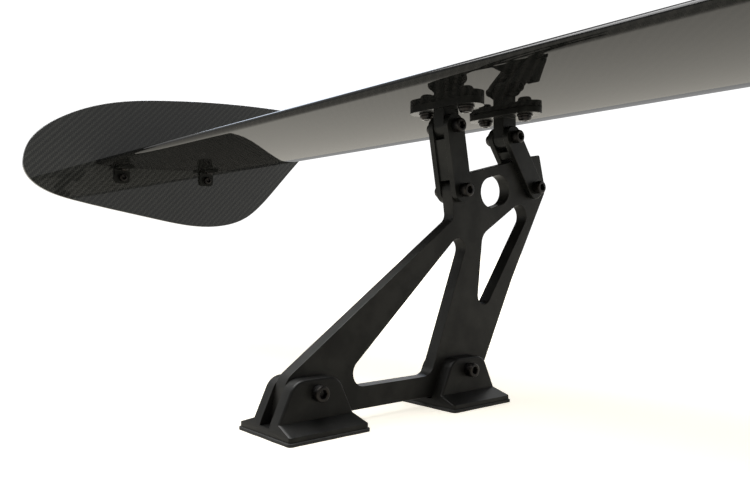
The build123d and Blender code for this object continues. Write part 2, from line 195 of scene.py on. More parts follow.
@dataclass(frozen=True)
class TwillCarbon(Finish):
    """Carbon cloth in a 2x2 twill, laid in a polished mould under clear gel coat.

    The cloth gives a soft diagonal pattern of dark grey tows, with a painted sheen on the warp
    tows and painted shade at the sides of each tow, and the gel coat over it gives hard
    reflections with a very slight ripple.
    """

    tow: float = 2.0 * MM
    tow_height: float = 0.07 * MM
    fibre: float = 0.16 * MM  # a fibre is 0.007 mm thick, so bundles of fibres are drawn
    ripple: float = 14.0 * MM
    # the warp is painted lighter than the weft as a painted sheen; the gap colour is the resin
    # between tows and painted shade on their sides
    warp_sheen_colour: str = "#1b1b1a"
    weft_colour: str = "#121312"
    gap_and_shade_colour: str = "#070708"
    coat: float = 0.28

    def surface(self, tree: bpy.types.NodeTree) -> bpy.types.Node:
        """Weave the cloth on the piece's own map, which is in metres.

        Args:
            tree: Node tree of the material.

        Returns:
            The shader.
        """
        cloth = add_node(tree, "UVMap", {"uv_map": "weave"})
        scaled = add_node(
            tree, "VectorMath", {"operation": "SCALE", "Scale": 1 / self.tow}, {0: cloth.outputs[0]}
        )
        axes = add_node(tree, "SeparateXYZ", links={0: scaled.outputs[0]})
        column = arithmetic(tree, "FLOOR", axes.outputs[0])
        row = arithmetic(tree, "FLOOR", axes.outputs[1])
        across = arithmetic(tree, "FRACT", axes.outputs[0])
        along = arithmetic(tree, "FRACT", axes.outputs[1])
        step = arithmetic(tree, "SUBTRACT", column, row)
        cycle = arithmetic(tree, "FRACT", arithmetic(tree, "MULTIPLY", step, 0.25))
        warp_on_top = arithmetic(tree, "LESS_THAN", cycle, 0.5)
        cell = arithmetic(tree, "MULTIPLY", cycle, 4.0)
        warp = self.float_height(tree, across, along, arithmetic(tree, "SUBTRACT", 1.0, cell))
        weft = self.float_height(tree, along, across, arithmetic(tree, "SUBTRACT", cell, 2.0))
        height = add_node(tree, "Mix", links={0: warp_on_top, 2: weft, 3: warp}).outputs[0]
        streaks = add_node(
            tree,
            "Mix",
            links={
                0: warp_on_top,
                2: self.fibres(tree, cloth.outputs[0], (0.06, 1.0, 1.0)),
                3: self.fibres(tree, cloth.outputs[0], (1.0, 0.06, 1.0)),
            },
        ).outputs[0]
        # painted sheen: warp tows are painted lighter than weft tows of the same fibre
        tows = blend_colours(tree, warp_on_top, self.weft_colour, self.warp_sheen_colour)
        # dark resin gaps between tows, plus painted shade where each tow rounds down at its sides
        # and dives under the next
        shaded = blend_colours(tree, arithmetic(tree, "POWER", height, 0.5), self.gap_and_shade_colour, tows)
        colour = add_node(
            tree,
            "Mix",
            {"data_type": "RGBA", "blend_type": "MULTIPLY", 0: 0.55},
            {6: shaded, 7: streaks},
        ).outputs[2]
        raised = add_node(
            tree, "Bump", {"Strength": 0.8, "Distance": self.tow_height}, {"Height": height}
        )
        place = add_node(tree, "TexCoord")
        peel = add_node(
            tree,
            "TexNoise",
            {"Scale": 1 / self.ripple, "Detail": 1.0, "Roughness": 0.4},
            {"Vector": place.outputs["Object"]},
        )
        coat = add_node(
            tree, "Bump", {"Strength": 0.5, "Distance": 0.02 * MM}, {"Height": peel.outputs[0]}
        )
        return add_node(
            tree,
            "BsdfPrincipled",
            {
                "Roughness": 0.5,
                "Specular IOR Level": 0.0,
                "Coat Weight": self.coat,
                "Coat Roughness": 0.02,
                "Coat IOR": 1.5,
            },
            {"Base Color": colour, "Normal": raised.outputs[0], "Coat Normal": coat.outputs[0]},
        )

    def float_height(
        self,
        tree: bpy.types.NodeTree,
        across: bpy.types.NodeSocket,
        along: bpy.types.NodeSocket,
        cell: bpy.types.NodeSocket,
    ) -> bpy.types.NodeSocket:
        """Height of a tow where it floats over two others.

        Args:
            tree: Node tree of the material.
            across: Place over the tow's width, 0 to 1.
            along: Place along the crossing that the tow lies over, 0 to 1.
            cell: Which of the float's two crossings this is, 0 or 1.

        Returns:
            Height from 0 to 1, round over the width and lower where the tow dives.
        """
        travelled = arithmetic(tree, "MULTIPLY", arithmetic(tree, "ADD", cell, along), 0.5)
        rounds = []
        for share in (across, travelled):
            rest = arithmetic(tree, "SUBTRACT", 1.0, share)
            bulge = arithmetic(tree, "MULTIPLY", arithmetic(tree, "MULTIPLY", share, rest), 4.0)
            rounds.append(arithmetic(tree, "MAXIMUM", bulge, 0.0))
        width = arithmetic(tree, "POWER", rounds[0], 0.4)
        falling = arithmetic(tree, "POWER", rounds[1], 0.5)
        length = arithmetic(tree, "MULTIPLY_ADD", falling, 0.7, 0.3)
        return arithmetic(tree, "MULTIPLY", width, length)

    def fibres(
        self,
        tree: bpy.types.NodeTree,
        cloth: bpy.types.NodeSocket,
        stretch: tuple[float, float, float],
    ) -> bpy.types.NodeSocket:
        """Fine streaks along a tow.

        Args:
            tree: Node tree of the material.
            cloth: Place on the cloth, in metres.
            stretch: Scale of the streaks on each axis; the small one lies along the fibres.

        Returns:
            Grey from 0 to 1.
        """
        turned = add_node(tree, "Mapping", {"Scale": stretch}, {"Vector": cloth})
        grain = add_node(
            tree,
            "TexNoise",
            {"Scale": 1 / self.fibre, "Detail": 2.0, "Roughness": 0.6},
            {"Vector": turned.outputs[0]},
        )
        return add_node(
            tree,
            "MapRange",
            {"From Min": 0.3, "From Max": 0.7, "To Min": 0.35, "To Max": 1.0},
            {"Value": grain.outputs[0]},
        ).outputs[0]


@dataclass(frozen=True)
class MattFinish(Finish):
    """A plain material with a fine grain, soft patches and, on a bevelled piece, a painted
    highlight on its rounded edges.
    """

    colour: str = "#202020"
    patch_colour: str = "#262626"
    # colour of the painted highlight on rounded edges
    edge_highlight_colour: str = "#3a3a38"
    metallic: float = 0.0
    roughness: float = 0.5
    specular: float = 0.5
    grain: float = 0.35 * MM
    grain_height: float = 0.01 * MM
    patch: float = 22.0 * MM
    stretch: tuple[float, float, float] = (1.0, 1.0, 1.0)
    glow: float = 0.0

    def surface(self, tree: bpy.types.NodeTree) -> bpy.types.Node:
        """Lay grain, patches and a painted edge highlight over one colour.

        Args:
            tree: Node tree of the material.

        Returns:
            The shader.
        """
        place = add_node(tree, "TexCoord").outputs["Object"]
        turned = add_node(tree, "Mapping", {"Scale": self.stretch}, {"Vector": place}).outputs[0]
        fine = {"Scale": 1 / self.grain, "Detail": 3.0, "Roughness": 0.65}
        grain = add_node(tree, "TexNoise", fine, {"Vector": turned}).outputs[0]
        soft = {"Scale": 1 / self.patch, "Detail": 4.0, "Roughness": 0.55}
        patches = add_node(tree, "TexNoise", soft, {"Vector": place}).outputs[0]
        blotch = add_node(
            tree, "MapRange", {"From Min": 0.35, "From Max": 0.65}, {"Value": patches}
        ).outputs[0]
        colour = blend_colours(tree, blotch, self.colour, self.patch_colour)
        # painted highlight: rounded edges get a lighter colour in patches, and a little less
        # roughness
        edge = add_node(tree, "Attribute", {"attribute_name": "edge"}).outputs["Fac"]
        highlight_patches = add_node(
            tree,
            "MapRange",
            {"From Min": 0.42, "From Max": 0.62, "To Min": 0.25, "To Max": 1.0},
            {"Value": patches},
        ).outputs[0]
        painted_edge_light = arithmetic(tree, "MULTIPLY", edge, highlight_patches)
        colour = blend_colours(tree, painted_edge_light, colour, self.edge_highlight_colour)
        uneven = arithmetic(tree, "MULTIPLY_ADD", grain, 0.16, self.roughness - 0.08)
        rough = arithmetic(tree, "SUBTRACT", uneven, arithmetic(tree, "MULTIPLY", painted_edge_light, 0.1))
        bump = add_node(
            tree, "Bump", {"Strength": 0.6, "Distance": self.grain_height}, {"Height": grain}
        )
        return add_node(
            tree,
            "BsdfPrincipled",
            {
                "Metallic": self.metallic,
                "Specular IOR Level": self.specular,
                "Emission Color": linear(self.colour),
                "Emission Strength": self.glow,
            },
            {"Base Color": colour, "Roughness": rough, "Normal": bump.outputs[0]},
        )


# Gel-coated carbon twill: the long wing, mirror polished, with the cloth hardly showing
WING_CARBON = TwillCarbon("gel_coated_carbon_twill")
# The end plates' flatter cloth: the same twill in lighter colours, painted light for the light that
# the flat plate catches; its diagonal pattern shows all over the plate
PLATE_CARBON = TwillCarbon(
    "gel_coated_plate_twill",
    warp_sheen_colour="#363735",
    weft_colour="#262726",
    gap_and_shade_colour="#0b0b0c",
    coat=0.95,
)
# Aluminium, bead blasted and dyed black: satin, with an even fine grain and a faint painted
# highlight on its rounded edges
ANODISED_PLATE = MattFinish(
    "black_anodised_aluminium",
    colour="#0e0e0d",
    patch_colour="#121211",
    edge_highlight_colour="#2c2c29",
    metallic=0.3,
    roughness=0.44,
    specular=0.12,
)
# The same dye on the small milled pieces: a shade darker and smoother
ANODISED_FITTING = MattFinish(
    "black_anodised_fitting",
    colour="#0b0c0b",
    patch_colour="#0f100f",
    edge_highlight_colour="#2a2a27",
    metallic=0.3,
    roughness=0.38,
    specular=0.12,
    grain=0.28 * MM,
)
# Black oxide on steel, lightly oiled: darker and shinier than the plate, with brownish patches
BLACK_OXIDE = MattFinish(
    "black_oxide_steel",
    colour="#1b1b1c",
    patch_colour="#23201d",
    edge_highlight_colour="#3e3c39",
    metallic=0.9,
    roughness=0.34,
    grain=0.2 * MM,
    patch=5.0 * MM,
)
# Zinc plated steel under black passivate: the end plates' bonded inserts
BLACK_ZINC = MattFinish(
    "black_zinc_steel",
    colour="#34363a",
    patch_colour="#3d3c38",
    edge_highlight_colour="#5a5a58",
    metallic=1.0,
    roughness=0.3,
    patch=4.0 * MM,
)
# Moulded rubber sheet, cut to size: dead black with a dusty bloom
GASKET_RUBBER = MattFinish(
    "cut_rubber_sheet",
    colour="#101010",
    patch_colour="#161616",
    edge_highlight_colour="#1c1c1c",
    roughness=0.78,
    specular=0.3,
    grain=0.5 * MM,
    grain_height=0.04 * MM,
    patch=9.0 * MM,
)
# Machined polyamide block: the end ribs
MILLED_NYLON = MattFinish(
    "milled_black_polyamide",
    colour="#1b1b1b",
    patch_colour="#222222",
    roughness=0.55,
    stretch=(0.1, 1.0, 1.0),
)
# Bare aluminium with milling marks along the span: the hardpoints
MILLED_ALUMINIUM = MattFinish(
    "milled_aluminium",
    colour="#b9babb",
    patch_colour="#c4c4c2",
    edge_highlight_colour="#d6d6d4",
    metallic=1.0,
    roughness=0.36,
    stretch=(0.08, 1.0, 1.0),
)
# Carbon tube straight from the mould: matt resin with the fibres' faint lines along the span
RAW_CARBON = MattFinish(
    "raw_carbon_laminate",
    colour="#161617",
    patch_colour="#1e1e20",
    roughness=0.5,
    grain=0.5 * MM,
    stretch=(0.04, 1.0, 1.0),
)


# ------------------------------------------------------------------ mesh helpers

BODY_OF = {name: node["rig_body"] for name, node in frame["nodes"].items()}
SMOOTH_ANGLE = math.radians(38.0)


def finish_piece(
    name: str,
    shape: bmesh.types.BMesh,
    nodes: Sequence[str],
    finishes: Sequence[Finish],
    weigh: bool = True,
) -> bpy.types.Object:
    """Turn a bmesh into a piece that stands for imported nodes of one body.

    Args:
        name: Name of the piece.
        shape: The finished mesh, which is freed.
        nodes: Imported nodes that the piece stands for.
        finishes: Finishes in the order of the mesh's material numbers.
        weigh: Whether large flat faces keep straight normals beside their bevels.

    Returns:
        The new object.
    """
    mesh = bpy.data.meshes.new(name)
    for face in shape.faces:
        face.smooth = True
    shape.to_mesh(mesh)
    shape.free()
    mesh.set_sharp_from_angle(angle=SMOOTH_ANGLE)
    for finish in finishes:
        mesh.materials.append(finish.material())
    piece = bpy.data.objects.new(name, mesh)
    bpy.context.scene.collection.objects.link(piece)
    if weigh:
        modifier = piece.modifiers.new("straight_faces", "WEIGHTED_NORMAL")
        modifier.keep_sharp = True
    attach(piece, BODY_OF[nodes[0]])
    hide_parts(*nodes)
    log.info("%s: %d faces", name, len(mesh.polygons))
    return piece


def merged_copy(node: str) -> bmesh.types.BMesh:
    """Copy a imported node's mesh with its triangles joined and its flat faces whole.

    Args:
        node: Name of the node.

    Returns:
        The copy.
    """
    shape = bmesh.new()
    shape.from_mesh(frame["nodes"][node].data)
    bmesh.ops.remove_doubles(shape, verts=shape.verts, dist=0.002 * MM)
    join_flat(shape, 0.6)
    return shape


def join_flat(shape: bmesh.types.BMesh, degrees: float) -> None:
    """Join faces and straighten edges that turn by no more than an angle."""
    bmesh.ops.dissolve_limit(
        shape, angle_limit=math.radians(degrees), verts=shape.verts, edges=shape.edges
    )


def round_edges(
    shape: bmesh.types.BMesh, edges: list[bmesh.types.BMEdge], width: float, segments: int
) -> list[bmesh.types.BMFace]:
    """Round some edges of a mesh.

    Args:
        shape: Mesh to round.
        edges: Edges that are rounded.
        width: Width of the rounding on each side of an edge.
        segments: Faces across the rounding.

    Returns:
        The new faces.
    """
    return bmesh.ops.bevel(
        shape,
        geom=edges,
        offset=width,
        offset_type="OFFSET",
        affect="EDGES",
        segments=segments,
        profile=0.5,
        material=-1,
        clamp_overlap=True,
    )["faces"]


def solids_of(node: str) -> list[tuple[Vector, Vector]]:
    """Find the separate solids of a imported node.

    Args:
        node: Name of the node.

    Returns:
        Lowest and highest corner of each solid, from left to right.
    """
    shape = merged_copy(node)
    left, boxes = set(shape.verts), []
    while left:
        todo, solid = [left.pop()], []
        while todo:
            vertex = todo.pop()
            solid.append(vertex.co.copy())
            near = [edge.other_vert(vertex) for edge in vertex.link_edges]
            fresh = [other for other in near if other in left]
            left.difference_update(fresh)
            todo.extend(fresh)
        low = Vector(min(c[i] for c in solid) for i in range(3))
        high = Vector(max(c[i] for c in solid) for i in range(3))
        boxes.append((low, high))
    shape.free()
    return sorted(boxes, key=lambda box: tuple(box[0]))


def soften_edges(
    shape: bmesh.types.BMesh, width: float, segments: int, sharper: float = 30.0
) -> None:
    """Round the sharp edges of a mesh and mark them in its "edge" attribute.

    Args:
        shape: Mesh to round.
        width: Width of the rounding.
        segments: Faces across the rounding.
        sharper: Least angle in degrees between the faces of an edge that is rounded.
    """
    layer = shape.verts.layers.float.new("edge")
    limit = math.radians(sharper)
    sharp = [e for e in shape.edges if e.is_manifold and e.calc_face_angle(0.0) > limit]
    rounded = set(round_edges(shape, sharp, width, segments))
    for vertex in {v for face in rounded for v in face.verts}:
        inside = all(face in rounded for face in vertex.link_faces)
        vertex[layer] = 1.0 if inside else 0.3


# ------------------------------------------------------------------ fasteners


class Outline(Enum):
    """Shape of a ring around a fastener."""

    ROUND = "round"
    HEXAGON = "hexagon"
    KNURLED = "knurled"


@dataclass(frozen=True)
class Ring:
    """One ring of a fastener's surface: its height, its size and its outline.

    A hexagon's size is half its width across the flats, and limit trims its corners.
    """

    height: float
    size: float
    outline: Outline = Outline.ROUND
    limit: float = math.inf

    def reach(self, angle: float, sides: int) -> float:
        """Distance from the axis at an angle.

        Args:
            angle: Angle around the axis, in radians.
            sides: Vertices in the ring.

        Returns:
            The distance.
        """
        if self.outline is Outline.HEXAGON:
            sixth = math.pi / 3
            off_flat = (angle + sixth / 2) % sixth - sixth / 2
            return min(self.size / math.cos(off_flat), self.limit)
        if self.outline is Outline.KNURLED:
            groove = round(angle * sides / math.tau) % 2
            return self.size - 0.16 * MM * groove
        return self.size


@dataclass(frozen=True)
class Fastener:
    """A small turned piece, built ring by ring around +Z with its outer face up."""

    sides: int = 72

    def rings(self, length: float) -> list[Ring]:
        """Rings of the surface, from the inside of the outer face to the far end."""
        raise NotImplementedError

    def closed(self) -> bool:
        """Whether the last ring joins the first, as on a washer."""
        return False

    def build(self, shape: bmesh.types.BMesh, length: float, place: Matrix) -> None:
        """Add the fastener to a mesh.

        Args:
            shape: Mesh that gets the fastener.
            length: Length from the outer face to the far end.
            place: Where it goes: its outer face's centre, with +Z outwards.
        """
        rings = self.rings(length)
        made = bmesh.ops.create_circle(
            shape, cap_ends=not self.closed(), segments=self.sides, radius=1.0
        )["verts"]
        everything = set(made)
        angles = {vertex: math.atan2(vertex.co.y, vertex.co.x) for vertex in made}
        self.spread(angles, rings[0])
        edges = [e for e in {e for v in made for e in v.link_edges} if set(e.verts) <= set(made)]
        for ring in rings[1:]:
            before = {vertex: vertex.co.copy() for vertex in angles}
            new = bmesh.ops.extrude_edge_only(shape, edges=edges)["geom"]
            fresh = [g for g in new if isinstance(g, bmesh.types.BMVert)]
            edges = [g for g in new if isinstance(g, bmesh.types.BMEdge)]
            fresh_set = set(fresh)
            edges = [e for e in edges if set(e.verts) <= fresh_set]
            angles = {vertex: math.atan2(vertex.co.y, vertex.co.x) for vertex in fresh}
            self.spread(angles, ring)
            everything |= fresh_set
        if self.closed():
            bmesh.ops.remove_doubles(shape, verts=list(everything), dist=0.001 * MM)
            everything = {v for v in everything if v.is_valid}
        else:
            bmesh.ops.contextual_create(shape, geom=edges)
        faces = list({f for v in everything for f in v.link_faces})
        bmesh.ops.recalc_face_normals(shape, faces=faces)
        bmesh.ops.transform(shape, matrix=place, verts=list(everything))

    def spread(self, angles: dict[bmesh.types.BMVert, float], ring: Ring) -> None:
        """Move vertices onto a ring.

        Args:
            angles: Angle around the axis of each vertex.
            ring: Ring that they go onto.
        """
        for vertex, angle in angles.items():
            reach = ring.reach(angle % math.tau, self.sides)
            vertex.co = (reach * math.cos(angle), reach * math.sin(angle), ring.height)


@dataclass(frozen=True)
class CapScrew(Fastener):
    """Socket head cap screw with a knurled head and a threaded end."""

    head_radius: float = 5.0 * MM
    head_height: float = 6.0 * MM
    shank_radius: float = 3.0 * MM
    socket: float = 2.5 * MM
    socket_depth: float = 3.2 * MM
    pitch: float = 1.0 * MM
    thread_length: float = 9.0 * MM

    def rings(self, length: float) -> list[Ring]:
        """Rings from the socket's floor over the head and down to the shank's end.

        Args:
            length: Length from the head's face to the shank's end.

        Returns:
            The rings.
        """
        head, shank, depth = self.head_radius, self.shank_radius, self.socket_depth
        hexagon, knurl = Outline.HEXAGON, Outline.KNURLED
        seat = -self.head_height
        rings = [
            Ring(-depth - 0.6 * MM, 0.3 * MM),
            Ring(-depth, self.socket - 0.1 * MM, hexagon),
            Ring(-0.35 * MM, self.socket, hexagon),
            Ring(-0.02 * MM, self.socket + 0.32 * MM),
            Ring(0.0, self.socket + 0.55 * MM),
            Ring(0.0, head - 0.85 * MM),
            Ring(-0.1 * MM, head - 0.5 * MM),
            Ring(-0.35 * MM, head - 0.22 * MM),
            Ring(-0.7 * MM, head - 0.16 * MM),
            Ring(-0.75 * MM, head, knurl),
            Ring(seat + 1.1 * MM, head, knurl),
            Ring(seat + 1.0 * MM, head - 0.16 * MM),
            Ring(seat + 0.25 * MM, head - 0.16 * MM),
            Ring(seat, head - 0.45 * MM),
            Ring(seat, shank + 0.1 * MM),
        ]
        start = -length + self.thread_length
        rings += [Ring(seat - 0.3 * MM, shank), Ring(start, shank)]
        turns = int(self.thread_length / self.pitch)
        for turn in range(turns):
            root = start - (turn + 0.5) * self.pitch
            rings.append(Ring(root, shank - 0.5 * MM))
            rings.append(Ring(root - 0.45 * self.pitch, shank - 0.02 * MM))
        return rings + [Ring(-length, shank - 0.7 * MM)]


@dataclass(frozen=True)
class ButtonScrew(CapScrew):
    """Button head screw: a low dome with a hexagon socket."""

    head_radius: float = 5.25 * MM
    head_height: float = 3.3 * MM
    socket: float = 2.0 * MM
    socket_depth: float = 1.8 * MM
    thread_length: float = 8.0 * MM

    def rings(self, length: float) -> list[Ring]:
        """Rings from the socket's floor over the dome and down to the shank's end.

        Args:
            length: Length from the dome's top to the shank's end.

        Returns:
            The rings.
        """
        plain = super().rings(length)
        seat = -self.head_height
        under_head = next(i for i, ring in enumerate(plain) if ring.height < seat)
        flat = self.head_radius * 0.58
        steps = 7
        dome = []
        for step in range(steps + 1):
            turn = math.pi / 2 * step / steps
            reach = flat + (self.head_radius - flat) * math.sin(turn)
            dome.append(Ring(-(self.head_height - 0.25 * MM) * (1 - math.cos(turn)), reach))
        rim = [Ring(seat, self.head_radius - 0.1 * MM), Ring(seat, self.shank_radius + 0.1 * MM)]
        return plain[:5] + dome + rim + plain[under_head:]


@dataclass(frozen=True)
class Washer(Fastener):
    """Flat washer with rolled edges."""

    radius: float = 6.0 * MM
    hole: float = 3.3 * MM
    edge: float = 0.3 * MM

    def closed(self) -> bool:
        """A washer's surface goes all the way round."""
        return True

    def rings(self, length: float) -> list[Ring]:
        """Rings around the washer's section.

        Args:
            length: Thickness.

        Returns:
            The rings.
        """
        edge, low = self.edge, -length
        return [
            Ring(-edge, self.hole),
            Ring(0.0, self.hole + edge),
            Ring(0.0, self.radius - edge),
            Ring(-0.3 * edge, self.radius - 0.3 * edge),
            Ring(-edge, self.radius),
            Ring(low + edge, self.radius),
            Ring(low, self.radius - edge),
            Ring(low, self.hole + edge),
            Ring(low + edge, self.hole),
            Ring(-edge, self.hole),
        ]


@dataclass(frozen=True)
class LockNut(Fastener):
    """Hexagon nut with chamfered corners and a rounded collar that holds a lock ring."""

    half_flats: float = 5.0 * MM
    hexagon_height: float = 4.6 * MM
    collar: float = 4.3 * MM
    hole: float = 3.02 * MM

    def closed(self) -> bool:
        """A nut's surface goes all the way round."""
        return True

    def rings(self, length: float) -> list[Ring]:
        """Rings from the bore over the collar and the hexagon to the seat.

        Args:
            length: Height of the whole nut.

        Returns:
            The rings.
        """
        hexagon = Outline.HEXAGON
        flats, corner = self.half_flats, self.half_flats / math.cos(math.pi / 6)
        shoulder = -(length - self.hexagon_height)
        bottom = -length
        return [
            Ring(bottom + 0.5 * MM, self.hole),
            Ring(-0.45 * MM, self.hole),
            Ring(-0.12 * MM, self.hole + 0.12 * MM),
            Ring(-0.08 * MM, self.collar - 1.05 * MM),
            Ring(0.0, self.collar - 0.95 * MM),
            Ring(-0.08 * MM, self.collar - 0.6 * MM),
            Ring(-0.35 * MM, self.collar - 0.22 * MM),
            Ring(-0.8 * MM, self.collar - 0.03 * MM),
            Ring(shoulder + 0.15 * MM, self.collar),
            Ring(shoulder, self.collar + 0.12 * MM),
            Ring(shoulder - 0.05 * MM, flats, hexagon, flats - 0.15 * MM),
            Ring(shoulder - 0.55 * MM, flats, hexagon, corner),
            Ring(bottom + 0.55 * MM, flats, hexagon, corner),
            Ring(bottom + 0.1 * MM, flats, hexagon, flats - 0.1 * MM),
            Ring(bottom, flats - 0.4 * MM),
            Ring(bottom, self.hole + 0.45 * MM),
            Ring(bottom + 0.5 * MM, self.hole),
        ]


@dataclass(frozen=True)
class Insert(Washer):
    """Bonded threaded insert, flush with both faces of the end plate."""

    radius: float = 4.5 * MM
    hole: float = 3.02 * MM
    edge: float = 0.25 * MM


class Facing(Enum):
    """Which way a fastener's outer face looks."""

    INBOARD = "inboard"
    OUTBOARD = "outboard"
    DOWN = "down"


@dataclass(frozen=True)
class FastenerSet:
    """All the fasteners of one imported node."""

    node: str
    kind: Fastener
    facing: Facing
    finish: Finish

    def build(self) -> None:
        """Build a fastener over each solid of the node."""
        shape = bmesh.new()
        for low, high in solids_of(self.node):
            middle = (low + high) / 2
            if self.facing is Facing.DOWN:
                place = Matrix.Translation((middle.x, middle.y, low.z))
                turn = Matrix.Rotation(math.pi, 4, "X")
                length = high.z - low.z
            else:
                left = middle.x < 0
                towards_right = left == (self.facing is Facing.INBOARD)
                end = high.x if towards_right else low.x
                place = Matrix.Translation((end, middle.y, middle.z))
                quarter = math.pi / 2 if towards_right else -math.pi / 2
                turn = Matrix.Rotation(quarter, 4, "Y")
                length = high.x - low.x
            self.kind.build(shape, length, place @ turn)
        finish_piece(f"{self.node}_turned", shape, [self.node], [self.finish], weigh=False)


# ------------------------------------------------------------------ metal pieces


@dataclass(frozen=True)
class MilledPiece:
    """A metal piece cut to shape, with its sharp edges broken."""

    node: str
    finish: Finish = ANODISED_FITTING
    edge: float = 0.4 * MM
    segments: int = 3

    def build(self) -> None:
        """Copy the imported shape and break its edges."""
        shape = merged_copy(self.node)
        soften_edges(shape, self.edge, self.segments)
        finish_piece(f"{self.node}_milled", shape, [self.node], [self.finish])


@dataclass(frozen=True)
class Gasket:
    """Rubber sheet under a foot, cut by hand, so its edge wanders a little."""

    node: str
    edge: float = 0.45 * MM
    wander: float = 0.5 * MM
    wave: float = 13.0 * MM
    cuts: int = 24
    long_edge: float = 10.0 * MM
    hole_zone: float = 15.0 * MM  # around the middle, where nothing wanders

    def build(self) -> None:
        """Cut the sheet, let its edge wander and press its rim round."""
        shape = merged_copy(self.node)
        low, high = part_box(self.node)
        middle = (low + high) / 2
        long = [e for e in shape.edges if e.calc_length() > self.long_edge]
        outer = [e for e in long if self.on_rim(e, low, high)]
        bmesh.ops.subdivide_edges(shape, edges=outer, cuts=self.cuts)
        for vertex in shape.verts:
            flat = Vector((vertex.co.x - middle.x, vertex.co.y - middle.y, 0.0))
            if flat.length < self.hole_zone:
                continue
            here = Vector((vertex.co.x, vertex.co.y, middle.z)) / self.wave
            vertex.co += flat.normalized() * noise.noise(here) * self.wander
        soften_edges(shape, self.edge, 3, sharper=50.0)
        finish_piece(f"{self.node}_cut", shape, [self.node], [GASKET_RUBBER])

    def on_rim(self, edge: bmesh.types.BMEdge, low: Vector, high: Vector) -> bool:
        """Tell whether a level edge lies on the sheet's outer rim.

        Args:
            edge: Edge to test.
            low: Lowest corner of the sheet.
            high: Highest corner of the sheet.

        Returns:
            True on the rim.
        """
        if abs(edge.verts[0].co.z - edge.verts[1].co.z) > 0.1 * MM:
            return False
        middle = (edge.verts[0].co + edge.verts[1].co) / 2
        gaps = [middle.x - low.x, high.x - middle.x, middle.y - low.y, high.y - middle.y]
        return min(gaps) < 0.3 * MM


@dataclass(frozen=True)
class Stand:
    """One side's upright, links, feet and gaskets."""

    side: str

    def build(self) -> None:
        """Build the stand's pieces."""
        MilledPiece(f"{self.side}_upright", ANODISED_PLATE, 0.55 * MM).build()
        for end in ENDS:
            MilledPiece(f"{self.side}_{end}_foot", ANODISED_PLATE, 0.5 * MM).build()
            MilledPiece(f"{self.side}_{end}_link", ANODISED_FITTING, 0.5 * MM).build()
            MilledPiece(f"{self.side}_{end}_wing_bracket", ANODISED_FITTING, 0.4 * MM).build()
            Gasket(f"{self.side}_{end}_gasket").build()


# ------------------------------------------------------------------ carbon pieces


